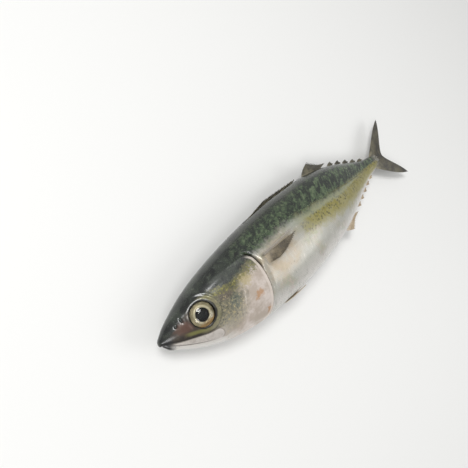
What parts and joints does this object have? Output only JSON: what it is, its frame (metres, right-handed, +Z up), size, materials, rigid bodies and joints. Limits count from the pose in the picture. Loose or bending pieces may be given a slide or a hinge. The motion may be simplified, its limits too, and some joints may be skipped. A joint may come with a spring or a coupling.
{
  "type": "mackerel",
  "caption": "Whole fresh mackerel lying on its side, with eyes, gill slits, folded fins, finlets and a forked tail fin.",
  "frame": {"origin": "middle of the underside of the box round the whole fish, on the surface it lies on", "axes": "+X from the snout to the tail, +Y from the belly to the back, +Z up, from the lower right flank to the upper left flank"},
  "size_m": [0.216, 0.0548, 0.0274],
  "materials": {
    "skin": "wet scaly skin, dark blue-green on the back with mottles, yellow-green on the upper flank and silver on the belly",
    "eye": "wet eye, cream and gold iris round a blue-black pupil",
    "fin": "wet fin, dark olive-brown rays in a thin membrane",
    "pale_fin": "wet fin, pale rays in a thin clear membrane"
  },
  "bodies": {
    "root": {"body": "skin", "left_eye": "eye", "right_eye": "eye", "left_pectoral_fin": "fin", "right_pectoral_fin": "fin", "left_pelvic_fin": "pale_fin", "right_pelvic_fin": "pale_fin", "first_dorsal_fin": "fin", "second_dorsal_fin": "fin", "anal_fin": "pale_fin", "dorsal_finlet_1": "fin", "dorsal_finlet_2": "fin", "dorsal_finlet_3": "fin", "dorsal_finlet_4": "fin", "dorsal_finlet_5": "fin", "anal_finlet_1": "pale_fin", "anal_finlet_2": "pale_fin", "anal_finlet_3": "pale_fin", "anal_finlet_4": "pale_fin", "anal_finlet_5": "pale_fin", "tail_fin": "fin"}
  },
  "joints": []
}
